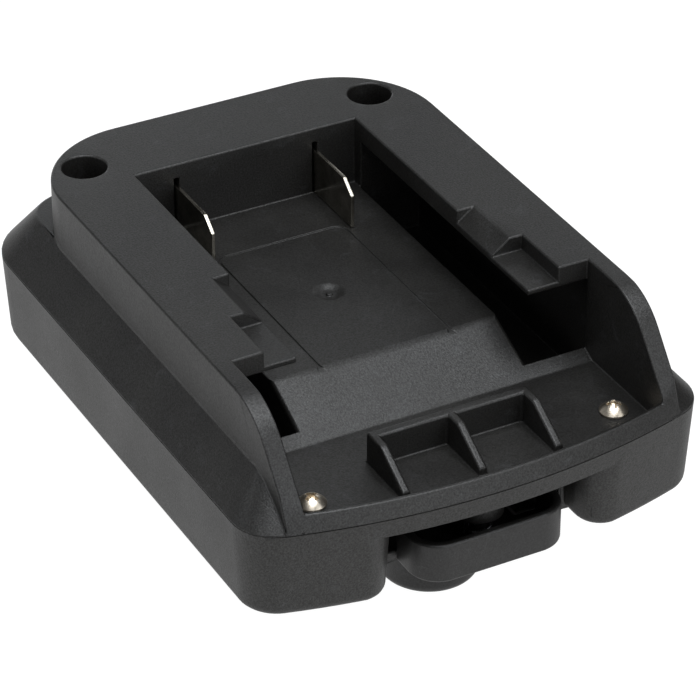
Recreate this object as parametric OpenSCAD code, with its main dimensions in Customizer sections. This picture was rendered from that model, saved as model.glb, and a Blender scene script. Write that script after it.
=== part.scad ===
// Adapter that lets a slide-on battery pack power a tool with another battery foot.
// X runs across, the front with the release tab faces -Y, and the rail foot rests on Z = 0.

/* [Housing] */
// Width over the skirt
body_w = 96.6; // [92:0.1:110]
// Length over the skirt
body_l = 129.9; // [126:0.1:150]
// Height of the rail foot below the base
foot_h = 16.5; // [15:0.1:20]
// Height of the base shell's wall
base_h = 18.5; // [18:0.1:24]
// Height of the sloping skirt
skirt_h = 8.1; // [7:0.1:10]
// Height of the upright housing wall above the skirt
housing_h = 11.9; // [11.5:0.1:15]
// How far the skirt reaches out beyond the housing wall
skirt_reach = 6.8; // [5:0.1:8]
// Wall thickness of both mouldings
wall = 2.4; // [2:0.1:2.8]
// Corner radius at the back of the housing
housing_corner_r = 21; // [14:0.5:22]
// Corner radius at the back of the skirt and base
base_back_r = 15.5; // [12:0.5:20]
// Corner radius at the back of the skirt's top, where a shelf rounds the housing
skirt_back_r = 9; // [7:0.5:13]
// Corner radius at the front of the skirt and base
base_front_r = 9; // [7:0.5:12]
// Radius of the bowed front
bow_r = 151.4; // [130:0.1:200]
// How far the base walls lean in towards the bottom
base_draft = 1; // [0.5:0.1:1.5]
// Rounding of the base's bottom edge
base_edge_r = 2; // [1:0.1:3]
// Height of the upright land at the foot of the skirt
land_h = 0.3; // [0.3:0.1:1]
// How far the skirt stands back from the base at the parting line
land_inset = 0.1; // [0.05:0.05:0.2]

/* [Battery bay] */
// Clear width between the slide rails
bay_w = 49.2; // [46:0.1:52]
// Thickness of the block behind the bay, from its wall to the back of the housing
bay_back_t = 19.3; // [18.5:0.1:21]
// Depth of the bay floor below the top
bay_depth = 14.86; // [13.5:0.1:16]
// Depth of the side channels below the top
channel_depth = 28; // [22:0.1:30]
// How far the channels cut into the side walls behind the rails' front ends
channel_relief = 0.8; // [0.4:0.1:1.2]
// Thickness of the side wall outside each channel
side_wall_t = 3.8; // [3:0.1:4.5]
// Thickness of a slide rail
rail_t = 4.5; // [4:0.1:5.5]
// Length of the low step at the front of each rail
rail_step_l = 13.7; // [10:0.1:16]
// Width of that step
rail_step_w = 6.6; // [5:0.1:8]
// Depth of that step
rail_step_d = 3.3; // [2:0.1:3.4]
// Width of the bevel behind the step
rail_bevel_w = 3.9; // [2:0.1:5]
// Depth of the bevel behind the step
rail_bevel_d = 3; // [2:0.1:4]
// Half width of the panel drawn on the bay floor by a shallow groove
panel_half_w = 14.1; // [10:0.1:18]
// Distance of that panel from the bay wall
panel_gap = 14.1; // [10:0.1:20]
// Width of the groove
groove_w = 0.5; // [0.4:0.1:1]
// Depth of the groove
groove_d = 0.3; // [0.2:0.05:0.6]
// Radius of the round ejector mark
mark_r = 3.1; // [2:0.1:4]
// Depth of that mark, a dish with a nub in its middle
mark_d = 0.7; // [0.4:0.1:0.9]
// Distance of the mark from the bay wall
mark_gap = 35.4; // [30:0.1:42]

/* [Deck and lip] */
// Depth of the deck below the top
deck_depth = 21.2; // [20.6:0.1:22]
// Distance of the ramp's foot from the front
ramp_foot = 31.2; // [28:0.1:34]
// Length of the ramp from the deck to the bay floor
ramp_run = 14.2; // [12:0.1:18]
// Distance of the rails' front ends from the front
rail_front = 34.5; // [33:0.1:38]
// Depth of the lip's top edge below the top
lip_depth = 16.7; // [15:0.1:17.5]
// How far the lip leans back from its foot to its top
lip_lean = 1.4; // [0.5:0.1:2]
// Thickness of the lip at its top
lip_top_t = 0.8; // [0.6:0.1:1.2]
// Thickness of the lip at the deck
lip_foot_t = 6.4; // [6:0.1:8]
// Slope of the cheeks' front edge
cheek_angle = 51; // [45:1:55]
// Distance from the front where that slope would meet the top
cheek_reach = 19.3; // [18:0.1:24]
// Radius that rounds the cheek between the top and the slope
cheek_r = 14.7; // [8:0.1:16]
// Width of the latch-stop bar
bar_w = 34; // [30:0.1:40]
// Thickness of the bar
bar_t = 2.05; // [1.8:0.05:3]
// Distance of the bar's front face from the front
bar_front = 19.8; // [18:0.1:24]
// Depth of the bar's top below the top of the housing
bar_depth = 14.7; // [13:0.1:16]
// Thickness of the three gussets
gusset_t = 1.8; // [1.6:0.1:3]
// Level length of a gusset's top in front of the bar
gusset_flat = 3.4; // [2:0.1:4]
// Distance of the gussets' ends from the front
gusset_end = 7.7; // [7.5:0.1:10]
// Height of a gusset's end above the deck
gusset_end_h = 1.4; // [1:0.1:3]

/* [Screws] */
// Distance of the housing screws from the housing's sides
screw_edge = 9.45; // [8.5:0.05:10]
// Distance of the rear screws from the back
rear_screw_gap = 18.5; // [17.8:0.1:19]
// Distance of the front screws from the front
front_screw_gap = 14.5; // [13.5:0.1:16]
// Diameter of a housing screw's shank
screw_d = 2.9; // [2.5:0.1:3.2]
// Diameter of its pan head
screw_head_d = 5.6; // [5:0.1:6]
// Height of its pan head
screw_head_h = 2; // [1.4:0.1:2.2]
// Length of its shank
screw_l = 11; // [9:0.1:12]
// Diameter of the rear counterbores
counterbore_d = 9; // [7:0.1:9.5]
// Wall of the columns round the rear counterbores
column_wall = 1.8; // [1.5:0.1:2]
// Depth of the rear counterbores
counterbore_depth = 24; // [20:0.1:25]
// Diameter of the small inner screws' shank
small_screw_d = 2.2; // [2:0.1:2.5]
// Diameter of their heads
small_head_d = 4.2; // [3.6:0.1:4.6]
// Height of their heads
small_head_h = 1.4; // [1.2:0.1:1.8]

/* [Contacts] */
// Spacing of the two blades, and of the clips below them
contact_span = 31; // [29:0.1:32]
// Thickness of a blade
blade_t = 0.8; // [0.6:0.05:1]
// Length of a blade in front of the bay wall
blade_l = 16.2; // [12:0.1:18]
// Depth of a blade's top edge below the top
blade_depth = 4.9; // [4:0.1:6]
// Length of the clipped corner at a blade's tip
blade_clip_l = 3.4; // [2:0.1:5]
// Height of the clipped corner
blade_clip_h = 2.7; // [1.5:0.1:4]
// Width of the slots that the blades pass through
blade_slot_w = 1.1; // [1.05:0.05:1.6]
// Width of the push-on tabs at the blades' and clips' ends
tab_w = 6.3; // [5:0.1:6.5]
// Length of the push-on tabs
tab_l = 8; // [7:0.1:9]
// Gap between the terminal block and the back of the housing
block_back_gap = 6; // [5:0.1:7]
// Gap between the terminal block and the ceiling
block_top_gap = 3.4; // [3:0.1:4]
// How far the terminal block reaches below the bay floor
block_drop = 1.7; // [1:0.1:2.5]
// Wall of a receptacle's grip
grip_wall = 0.85; // [0.6:0.05:1]
// How much shorter the grip is than the tab
grip_short = 1; // [0.5:0.1:1.5]
// Wall of a receptacle's wire barrel
barrel_wall = 0.6; // [0.4:0.05:0.7]
// Wall of the sleeves over the receptacles
sleeve_t = 0.6; // [0.4:0.05:0.8]
// Gap between a sleeve and its receptacle
sleeve_gap = 0.1; // [0.05:0.05:0.15]
// Diameter of the insulated wires
wire_d = 3; // [2.4:0.1:3.2]
// Thickness of the clips' spring strip
clip_t = 0.6; // [0.5:0.05:0.8]
// Height of the clips' leaves
clip_h = 8; // [6:0.1:9]
// Distance between the backs of a clip's two leaves
clip_w = 4.8; // [4:0.1:5.2]
// Gap between the leaves where they touch a tool's blade
clip_mouth = 0.7; // [0.5:0.05:1.2]
// Length of the clips' leaves
clip_leaf_l = 13; // [11:0.1:14]
// Play of a clip in its pocket
clip_play = 0.4; // [0.3:0.05:0.6]
// Thickness of the holder's web under its screw heads
holder_web = 3; // [2:0.1:3.5]
// Wall of the posts and bosses that take the small screws
post_wall = 1.9; // [1.6:0.1:2.2]

/* [Tool foot] */
// Width over the foot's rails
foot_w = 63; // [60:0.1:66]
// Depth of the groove above each rail
foot_groove = 5.5; // [4.5:0.1:7]
// Thickness of the foot's rails
foot_rail_t = 6.5; // [5:0.1:7]
// Distance of the foot's rear end from the back
foot_back_gap = 13; // [10:0.1:13.5]
// Width of the slots that take the tool's blades
tool_slot_w = 5.2; // [4.6:0.1:6]
// Length of those slots
tool_slot_l = 14; // [11:0.1:14.5]
// Height of those slots
tool_slot_h = 11; // [9:0.1:12]

/* [Latch] */
// Upward travel of the latch
latch_travel = 5.5; // [4:0.1:5.6]
// Width of the finger tab
latch_w = 31.6; // [28:0.1:34]
// Height of the finger tab
latch_h = 8.3; // [7:0.1:8.4]
// Height of the finger tab's underside above the base's underside
latch_lift = 0.7; // [0.5:0.1:1]
// Depth of the finger tab from front to back
latch_depth = 11; // [10:0.1:13]
// Corner radius at the tab's front ends
latch_corner_r = 6.2; // [3:0.1:7]
// Wall thickness of the tab
latch_wall = 1.8; // [1.4:0.1:2.4]
// Radius of the round bolt
bolt_r = 10; // [8:0.1:11]
// Distance of the bolt's axis from the front
bolt_gap = 27.9; // [26:0.1:29]
// Rounding of the bolt's lower edge
bolt_edge_r = 2; // [1:0.1:3]
// How far the latch's flange reaches over the base's floor
flange_reach = 4; // [3:0.1:5]
// Width of the front notch
notch_w = 39; // [37:0.1:42]
// Rounding of the notch's two front edges
notch_r = 6.6; // [4:0.1:7]
// Height of the strip of front wall above the notch
strip_h = 3.7; // [3.6:0.1:4]
// Distance of the spring's axis from the front
spring_gap = 9.4; // [9:0.1:10]
// Diameter of the tube that hangs from the deck around the spring
spring_tube_d = 9.6; // [8:0.1:10.4]
// Length of that tube
spring_tube_l = 6.4; // [5:0.1:6.4]
// Outer diameter of the spring
spring_d = 5.4; // [5:0.1:5.6]
// Diameter of the spring's wire
spring_wire_d = 0.7; // [0.5:0.05:0.8]
// Number of the spring's curls
spring_curls = 6; // [4:1:7]

/* [Clearances] */
// Gap between pieces that nest in each other
nest_gap = 0.3; // [0.2:0.05:0.4]
// Gap round the moving latch
slide_gap = 0.3; // [0.2:0.05:0.4]
// Gap between a screw's shank and its pilot hole, and round wires and tabs
grip_gap = 0.05; // [0.03:0.01:0.08]
// Gap round a screw's shank in a through hole
through_gap = 0.25; // [0.2:0.05:0.3]
// Gap between a resting piece and its seat
seat_gap = 0.1; // [0.05:0.05:0.15]

/* [Hidden] */
$fn = 64;
// Overshoot that lets a cut run past a face
past = 1;
// Small overlap that joins pieces of one solid
slice = 0.01;
// Points along a rounded corner of an outline
corner_steps = 10;
// Points along the bowed front of an outline
bow_steps = 24;
// Steps round the base's bottom edge
edge_steps = 5;

plastic = "#202122";
insulator = "#3a3c3e";
nickel = "#d8d4cc";
copper = "#b5793c";
steel = "#9a9da0";
red = "#a82a22";
black = "#161616";
sleeve_clear = "#c9c6bd";

y_front = -body_l / 2;
y_back = body_l / 2;
half_w = body_w / 2;
z_base = foot_h;
z_part = z_base + base_h;
z_skirt = z_part + skirt_h;
z_top = z_skirt + housing_h;

housing_half_w = half_w - skirt_reach;
y_housing_back = y_back - skirt_reach;
y_bay = y_housing_back - bay_back_t;
bay_half_w = bay_w / 2;
channel_half_w = housing_half_w - side_wall_t;
x_relief = channel_half_w + channel_relief;
z_bay = z_top - bay_depth;
z_channel = z_top - channel_depth;
z_deck = z_top - deck_depth;
z_tray = z_deck - wall;
z_cover_low = min(z_tray, z_channel - wall);
z_lip = z_top - lip_depth;
y_rail = y_front + rail_front;
y_ramp_foot = y_front + ramp_foot;
y_ramp_top = y_ramp_foot + ramp_run;
y_rear_cavity = y_bay + wall;
z_ceiling = z_top - wall;

x_screw = housing_half_w - screw_edge;
y_rear_screw = y_back - rear_screw_gap;
y_front_screw = y_front + front_screw_gap;
z_counterbore = z_top - counterbore_depth;
boss_r = screw_d / 2 + wall;
column_r = counterbore_d / 2 + column_wall;

z_floor = z_base + wall;
inner_inset = base_draft + wall;
bow_y = y_front + bow_r;

x_contact = contact_span / 2;
y_latch = y_front + lip_lean;
y_bolt = y_front + bolt_gap;
y_spring = y_front + spring_gap;
z_latch = z_base + latch_lift;
z_latch_floor = z_latch + latch_wall;
z_flange = z_floor + seat_gap;
notch_half_w = notch_w / 2;
z_notch = z_part - strip_h;
y_notch_back = y_latch + latch_depth + slide_gap;
// Centres of the round edges beside the notch, which stand a hair proud of a smooth join
x_notch_edge = notch_half_w + notch_r;
y_notch_edge = bow_y - sqrt(pow(bow_r - notch_r, 2) - pow(x_notch_edge, 2)) - nest_gap / 5;
flange_half_w = bolt_r + flange_reach;
y_pocket_back = y_bolt + bolt_r + wall + slide_gap;
spring_low = z_latch_floor;
spring_high = z_tray;
spring_coil_r = (spring_d - spring_wire_d) / 2;
spring_pin_r = spring_d / 2 - spring_wire_d - nest_gap;

y_foot_front = y_bolt + bolt_r + slide_gap + wall / 2;
y_foot_back = y_back - foot_back_gap;
foot_half_w = foot_w / 2;
neck_half_w = foot_half_w - foot_groove;
well_half_w = neck_half_w - wall;
z_well = wall;

// The terminal block fills the space behind the bay wall and between the screw columns.
block_half_w = x_screw - column_r - 2 * wall;
y_block_front = y_rear_cavity + seat_gap;
y_block_back = y_housing_back - block_back_gap;
z_block_top = z_ceiling - block_top_gap;
z_block_low = z_bay - block_drop;
y_blade_tab = (y_block_front + y_block_back) / 2;
x_block_screw = block_half_w / 3;

// A push-on terminal: the box that grips the tab, then the barrel that grips the wire.
grip_l = tab_l - grip_short;
barrel_r = wire_d / 2 + barrel_wall;
barrel_l = 2 * wire_d;
z_blade_grip = z_block_low - seat_gap;
z_blade_tab = z_blade_grip - tab_l;

y_clip = y_foot_back - tool_slot_l - clip_leaf_l + wall / 2;
z_clip = z_well + wall;
holder_half_w = well_half_w - seat_gap;
y_holder_front = y_clip - 2 * wall;
y_holder_back = y_clip + clip_leaf_l - clip_t;
z_holder_low = z_well + seat_gap;
z_holder_top = z_clip + clip_h + wall / 2;
z_clip_grip = z_holder_top + seat_gap;
clip_pocket_w = clip_w + 2 * clip_t + clip_play;
x_holder_screw = holder_half_w / 3;
y_holder_screw = (y_holder_front + y_holder_back) / 2;
post_r = small_screw_d / 2 + post_wall;
z_post = z_holder_top - holder_web - seat_gap;

function arc(cx, cy, r, from, to, steps) =
    [for (i = [0:steps]) let (a = from + (to - from) * i / steps) [cx + r * cos(a), cy + r * sin(a)]];

// Plan with straight sides, round corners and a bowed front; every plan has the same number of points.
function plan(half, back, front, back_r, front_r, bow) =
    let (fx = half - front_r, fy = front + bow - sqrt(pow(bow - front_r, 2) - fx * fx))
    let (a = atan2(fy - front - bow, fx))
    concat(arc(fx, fy, front_r, a, 0, corner_steps),
           arc(half - back_r, back - back_r, back_r, 0, 90, corner_steps),
           arc(back_r - half, back - back_r, back_r, 90, 180, corner_steps),
           arc(-fx, fy, front_r, 180, 180 - a, corner_steps),
           [for (p = arc(0, front + bow, bow, 180 - a, 360 + a, bow_steps)) if (abs(p[0]) < fx) p]);

function base_plan(inset) =
    plan(half_w - inset, y_back - inset, y_front + inset, base_back_r - inset, base_front_r - inset, bow_r - inset);

// Closed solid through plans at rising heights; levels is a list of [z, plan].
module loft(levels) {
    count = len(levels[0][1]);
    points = [for (level = levels) for (p = level[1]) [p[0], p[1], level[0]]];
    sides = [for (i = [0:len(levels) - 2], k = [0:count - 1])
        let (a = i * count + k, b = i * count + (k + 1) % count)
        each [[a, b + count, b], [a, a + count, b + count]]];
    low = [for (k = [0:count - 1]) k];
    high = [for (k = [count - 1:-1:0]) (len(levels) - 1) * count + k];
    polyhedron(points, concat([low, high], sides));
}

module block(low, high) {
    translate(low)
        cube(high - low);
}

module at_both_sides(x, y) {
    for (side = [-1, 1])
        translate([side * x, y, 0])
            children();
}

// Plate along X from an outline drawn in Y and Z.
module across(x_low, x_high, outline) {
    translate([x_low, 0, 0])
        rotate([90, 0, 90])
            linear_extrude(x_high - x_low)
                polygon(outline);
}

// Bar along Y from an outline drawn in X and Z.
module along(y_low, y_high, outline) {
    translate([0, y_high, 0])
        rotate([90, 0, 0])
            linear_extrude(y_high - y_low)
                polygon(outline);
}

// Plan of the housing: square to the front, rounded at the back.
module housing_plan(inset) {
    h = housing_half_w - inset;
    back = y_housing_back - inset;
    r = housing_corner_r - inset;
    translate([-h, y_front])
        square([2 * h, back - r - y_front]);
    translate([r - h, y_front])
        square([2 * (h - r), back - y_front]);
    for (side = [-1, 1])
        translate([side * (h - r), back - r])
            circle(r);
}

// Solid within the bowed, leaning front; its radius shrinks with height.
module bow_cone(r_low, r_high, z_low, z_high) {
    translate([0, bow_y, z_low])
        cylinder(h = z_high - z_low, r1 = r_low, r2 = r_high, $fn = 256);
}

module cheek_profile(x_low, x_high) {
    y_corner = y_front + cheek_reach;
    run = cheek_r * tan(cheek_angle / 2);
    y_end = y_corner - (z_top - z_part) / tan(cheek_angle);
    bend = arc(y_corner + run, z_top - cheek_r, cheek_r, 90, 90 + cheek_angle, corner_steps);
    across(x_low, x_high, concat([[y_back, z_part], [y_back, z_top]], bend, [[y_end, z_part]]));
}

// Sloping skirt with a small upright land at the parting line; its slope runs on into the housing.
module skirt() {
    run_in = nest_gap;
    y_upper = y_front + cheek_reach - housing_h / tan(cheek_angle) + run_in;
    z_upper = z_skirt + run_in * (skirt_h - land_h) / skirt_reach;
    upper = plan(housing_half_w - run_in, y_housing_back - run_in, y_upper, skirt_back_r, base_front_r / 3, bow_r);
    loft([[z_part, base_plan(land_inset)], [z_part + land_h, base_plan(land_inset)], [z_upper, upper]]);
}

// Everything within the bowed, leaning front of the lip and cheeks.
module front_limit(z_low) {
    r_top = bow_r - lip_lean * (z_top - z_part) / (z_lip - z_part);
    bow_cone(bow_r, r_top, z_low, z_top);
}

// Housing walls: full height at the back and sides, cut to the cheeks' slope at the front.
module housing_walls() {
    intersection() {
        translate([0, 0, z_part])
            linear_extrude(z_top - z_part)
                housing_plan(0);
        cheek_profile(-half_w, half_w);
        front_limit(z_part);
    }
}

// Low front wall whose inner face slopes down to the deck.
module lip() {
    y_lip_back = y_front + bow_r - sqrt(pow(bow_r, 2) - pow(channel_half_w, 2)) + lip_foot_t + past;
    difference() {
        union() {
            intersection() {
                block([-channel_half_w, y_front - past, z_part], [channel_half_w, y_lip_back, z_lip]);
                front_limit(z_part);
            }
            intersection() {
                block([-channel_half_w, y_front - past, z_tray], [channel_half_w, y_lip_back, z_part]);
                nested_core();
            }
        }
        bow_cone(bow_r - lip_foot_t, bow_r - lip_lean - lip_top_t, z_deck, z_lip);
    }
}

// Space inside the base's walls that the cover may reach down into.
module nested_core() {
    translate([0, 0, z_cover_low])
        linear_extrude(z_top - z_cover_low)
            polygon(base_plan(inner_inset + nest_gap));
}

// Part of the cover that hangs inside the base: the deck, the ramp and the channel floors.
module tray() {
    x_tray = x_relief + wall;
    intersection() {
        union() {
            block([-x_tray, y_front, z_tray], [x_tray, y_ramp_top, z_part]);
            for (side = [0, 1])
                mirror([side, 0, 0])
                    block([bay_half_w - wall, y_rail - wall, z_channel - wall], [x_tray, y_rear_cavity, z_part]);
        }
        nested_core();
    }
}

module bay_cut() {
    drop = (z_bay - z_deck) / ramp_run;
    over = past + wall;
    block([-bay_half_w, y_ramp_top, z_bay], [bay_half_w, y_bay, z_top + past]);
    // The ramp falls from the bay floor to the deck.
    across(-bay_half_w, bay_half_w,
           [[y_ramp_top + over, z_bay], [y_ramp_top, z_bay], [y_ramp_foot, z_deck],
            [y_ramp_foot - over, z_deck], [y_ramp_foot - over, z_top + past], [y_ramp_top + over, z_top + past]]);
    // The same slope runs on beside it, up to the channels' mouths.
    across(-channel_half_w, channel_half_w,
           [[y_rail, z_deck + (y_rail - y_ramp_foot) * drop], [y_ramp_foot, z_deck],
            [y_ramp_foot - over, z_deck], [y_ramp_foot - over, z_top + past], [y_rail, z_top + past]]);
    for (side = [0, 1])
        mirror([side, 0, 0]) {
            along(y_rail, y_bay - wall,
                  [[bay_half_w - slice, z_bay], [bay_half_w, z_bay], [bay_half_w, z_channel],
                   [x_relief, z_channel], [x_relief, z_top - rail_t], [bay_half_w - slice, z_top - rail_t]]);
            block([bay_half_w - slice, y_rail - past, z_top - rail_step_d],
                  [bay_half_w + rail_step_w, y_rail + rail_step_l, z_top + past]);
            along(y_rail + rail_step_l - slice, y_rail + 2 * rail_step_l,
                  [[bay_half_w - slice, z_top - rail_bevel_d], [bay_half_w + rail_bevel_w, z_top],
                   [bay_half_w + rail_bevel_w, z_top + past], [bay_half_w - slice, z_top + past]]);
        }
}

module deck_cut() {
    block([-channel_half_w, y_front - past, z_deck], [channel_half_w, y_ramp_foot - past, z_top + past]);
}

// Shallow groove round the floor panel, and the round ejector mark.
module floor_marks() {
    corner = 5 * groove_w;
    y_panel = y_bay - panel_gap;
    translate([0, 0, z_bay - groove_d])
        linear_extrude(groove_d + past) {
            for (side = [-1, 1])
                translate([side * panel_half_w - groove_w / 2, y_ramp_top - past])
                    square([groove_w, y_panel - corner - y_ramp_top + past]);
            translate([corner - panel_half_w, y_panel - groove_w / 2])
                square([2 * (panel_half_w - corner), groove_w]);
            for (side = [-1, 1])
                translate([side * (panel_half_w - corner), y_panel - corner])
                    intersection() {
                        difference() {
                            circle(corner + groove_w / 2);
                            circle(corner - groove_w / 2);
                        }
                        translate([side < 0 ? -2 * corner : 0, 0])
                            square(2 * corner);
                    }
        }
    translate([0, y_bay - mark_gap, z_bay - mark_d])
        difference() {
            cylinder(h = 2 * mark_d, r1 = mark_r / 2, r2 = 3 * mark_r / 2);
            translate([0, 0, -past])
                cylinder(h = mark_d / 2 + past, r = mark_r / 5);
        }
}

module bar_and_gussets() {
    y_bar = y_front + bar_front;
    z_bar = z_top - bar_depth;
    x_gusset = (bar_w - gusset_t) / 2;
    block([-bar_w / 2, y_bar, z_deck - slice], [bar_w / 2, y_bar + bar_t, z_bar]);
    for (x = [-x_gusset, 0, x_gusset])
        across(x - gusset_t / 2, x + gusset_t / 2,
               [[y_bar + slice, z_deck - slice], [y_bar + slice, z_bar], [y_bar - gusset_flat, z_bar],
                [y_front + gusset_end, z_deck + gusset_end_h], [y_front + gusset_end, z_deck - slice]]);
}

module cover_hollow() {
    x_under = bay_half_w - wall;
    slope_wall = wall * sqrt(1 + pow((z_bay - z_deck) / ramp_run, 2));
    // Below the bay floor and the ramp.
    across(-x_under, x_under,
           [[y_rear_cavity, z_cover_low - past], [y_rear_cavity, z_bay - wall], [y_ramp_top + wall, z_bay - wall],
            [y_ramp_foot + wall, z_deck - slope_wall], [y_ramp_foot + wall, z_cover_low - past]]);
    // Behind the bay wall.
    intersection() {
        translate([0, 0, z_cover_low - past])
            linear_extrude(z_ceiling - z_cover_low + past)
                housing_plan(wall);
        block([-half_w, y_rear_cavity, z_cover_low - past], [half_w, y_back, z_ceiling]);
    }
}

module top_cover() {
    blade_slot_top = blade_depth - 2 * blade_t;
    spring_tube_r = spring_tube_d / 2;
    color(plastic)
        difference() {
            union() {
                difference() {
                    union() {
                        housing_walls();
                        skirt();
                        tray();
                    }
                    bay_cut();
                    deck_cut();
                    floor_marks();
                    cover_hollow();
                }
                lip();
                bar_and_gussets();
                // Columns round the rear counterbores, merged into the housing's corners.
                intersection() {
                    at_both_sides(x_screw, y_rear_screw)
                        translate([0, 0, z_counterbore - wall])
                            cylinder(h = z_top - wall / 2 - z_counterbore + wall, r = column_r);
                    linear_extrude(z_top)
                        housing_plan(wall / 2);
                }
                // Bosses that the terminal block is screwed to.
                at_both_sides(x_block_screw, y_blade_tab)
                    translate([0, 0, z_block_top])
                        cylinder(h = z_top - wall / 2 - z_block_top, r = post_r);
                // Tube round the latch spring.
                translate([0, y_spring, z_tray - spring_tube_l])
                    cylinder(h = spring_tube_l + wall / 2, r = spring_tube_r);
            }
            at_both_sides(x_screw, y_rear_screw) {
                translate([0, 0, z_counterbore])
                    cylinder(h = counterbore_depth + past, d = counterbore_d);
                translate([0, 0, z_counterbore - wall - past])
                    cylinder(h = wall + 2 * past, r = screw_d / 2 + through_gap);
            }
            at_both_sides(x_screw, y_front_screw)
                translate([0, 0, z_tray - past])
                    cylinder(h = wall + 2 * past, r = screw_d / 2 + through_gap);
            at_both_sides(x_block_screw, y_blade_tab)
                translate([0, 0, z_block_top - past])
                    cylinder(h = z_top - wall / 2 - z_block_top, r = small_screw_d / 2 + grip_gap);
            translate([0, y_spring, z_tray - spring_tube_l - past])
                cylinder(h = spring_tube_l + past, r = spring_d / 2 + slide_gap);
            // Slots that the blades come through.
            for (x = [-x_contact, x_contact])
                block([x - blade_slot_w / 2, y_bay - past, z_bay],
                      [x + blade_slot_w / 2, y_rear_cavity + past, z_top - blade_slot_top]);
        }
}

// Heights and insets of the base's outside: the rounded bottom edge, then the drafted wall.
function base_levels() = concat([for (a = [0:90 / edge_steps:90])
    [z_base + base_edge_r * (1 - cos(a)), base_draft + base_edge_r * (1 - sin(a))]], [[z_part, 0]]);

module base_body() {
    loft([for (level = base_levels())
        [level[0], base_plan(level[1])]]);
}

// Outline of the wall beside the notch: a round end in front and straight sides behind it.
function beside_notch(side, inset) = concat(
    arc(side * x_notch_edge, y_notch_edge, notch_r - inset, 180, 360, 2 * corner_steps),
    [[side * x_notch_edge + notch_r - inset, y_notch_back + past],
     [side * x_notch_edge - notch_r + inset, y_notch_back + past]]);

// Front notch between two walls that keep the base's draft and rounded bottom edge.
module notch() {
    x_mouth = x_notch_edge * bow_r / (bow_r - notch_r);
    difference() {
        block([-x_mouth, y_front - past, -past], [x_mouth, y_notch_back, z_notch]);
        for (side = [-1, 1])
            loft([for (level = base_levels())
                [level[0], beside_notch(side, level[1])]]);
    }
}

module latch_slot_plan() {
    r = bolt_r + slide_gap;
    translate([0, y_bolt])
        circle(r);
    translate([-r, y_front])
        square([2 * r, y_bolt - y_front]);
}

module tool_foot() {
    along(y_foot_front, y_foot_back,
          [[-foot_half_w, 0], [foot_half_w, 0], [foot_half_w, foot_rail_t], [neck_half_w, foot_rail_t],
           [neck_half_w, z_floor], [-neck_half_w, z_floor], [-neck_half_w, foot_rail_t],
           [-foot_half_w, foot_rail_t]]);
}

module base_shell() {
    z_pocket = z_tray - seat_gap - nest_gap;
    x_pocket = notch_half_w + wall;
    color(plastic)
        difference() {
            union() {
                difference() {
                    union() {
                        base_body();
                        tool_foot();
                    }
                    // Inside of the shell.
                    translate([0, 0, z_floor])
                        linear_extrude(z_part)
                            polygon(base_plan(inner_inset));
                    // Well inside the foot for the clips and wires.
                    block([-well_half_w, y_pocket_back + wall, z_well],
                          [well_half_w, y_foot_back - wall, z_floor + past]);
                }
                // Walls round the latch pocket.
                intersection() {
                    difference() {
                        block([-x_pocket, y_front, z_floor - slice], [x_pocket, y_pocket_back + wall, z_pocket]);
                        block([-notch_half_w, y_front - past, z_floor - past],
                              [notch_half_w, y_pocket_back, z_pocket + past]);
                    }
                    translate([0, 0, z_base])
                        linear_extrude(z_part)
                            polygon(base_plan(inner_inset - slice));
                }
                // Bosses for the housing screws.
                at_both_sides(x_screw, y_rear_screw)
                    translate([0, 0, z_floor - slice])
                        cylinder(h = z_counterbore - wall - seat_gap - z_floor, r = boss_r);
                at_both_sides(x_screw, y_front_screw)
                    translate([0, 0, z_floor - slice])
                        cylinder(h = z_tray - seat_gap - z_floor, r = boss_r);
                // Solid corners beside the notch.
                at_both_sides(x_notch_edge, y_notch_edge)
                    translate([0, 0, z_floor - slice])
                        cylinder(h = z_pocket - z_floor, r = notch_r - base_draft - slice);
                // Posts for the clip holder.
                at_both_sides(x_holder_screw, y_holder_screw)
                    translate([0, 0, z_well - slice])
                        cylinder(h = z_post - z_well, r = post_r);
            }
            notch();
            translate([0, 0, -past])
                linear_extrude(z_floor + 2 * past)
                    latch_slot_plan();
            // Slots that take the tool's blades.
            for (x = [-x_contact, x_contact])
                block([x - tool_slot_w / 2, y_foot_back - tool_slot_l, -past],
                      [x + tool_slot_w / 2, y_foot_back + past, tool_slot_h]);
            at_both_sides(x_screw, y_rear_screw)
                translate([0, 0, z_floor])
                    cylinder(h = base_h, r = screw_d / 2 + grip_gap);
            at_both_sides(x_screw, y_front_screw)
                translate([0, 0, z_floor])
                    cylinder(h = base_h, r = screw_d / 2 + grip_gap);
            at_both_sides(x_holder_screw, y_holder_screw)
                translate([0, 0, z_well])
                    cylinder(h = z_base, r = small_screw_d / 2 + grip_gap);
        }
}

module tab_plan(inset) {
    h = latch_w / 2 - inset;
    r = latch_corner_r - inset;
    intersection() {
        translate([-h, y_latch + inset])
            square([2 * h, latch_depth - 2 * inset]);
        union() {
            translate([-h, y_latch + latch_corner_r])
                square([2 * h, latch_depth]);
            translate([r - h, y_latch])
                square([2 * (h - r), latch_depth]);
            for (side = [-1, 1])
                translate([side * (h - r), y_latch + latch_corner_r])
                    circle(r);
        }
    }
}

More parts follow.
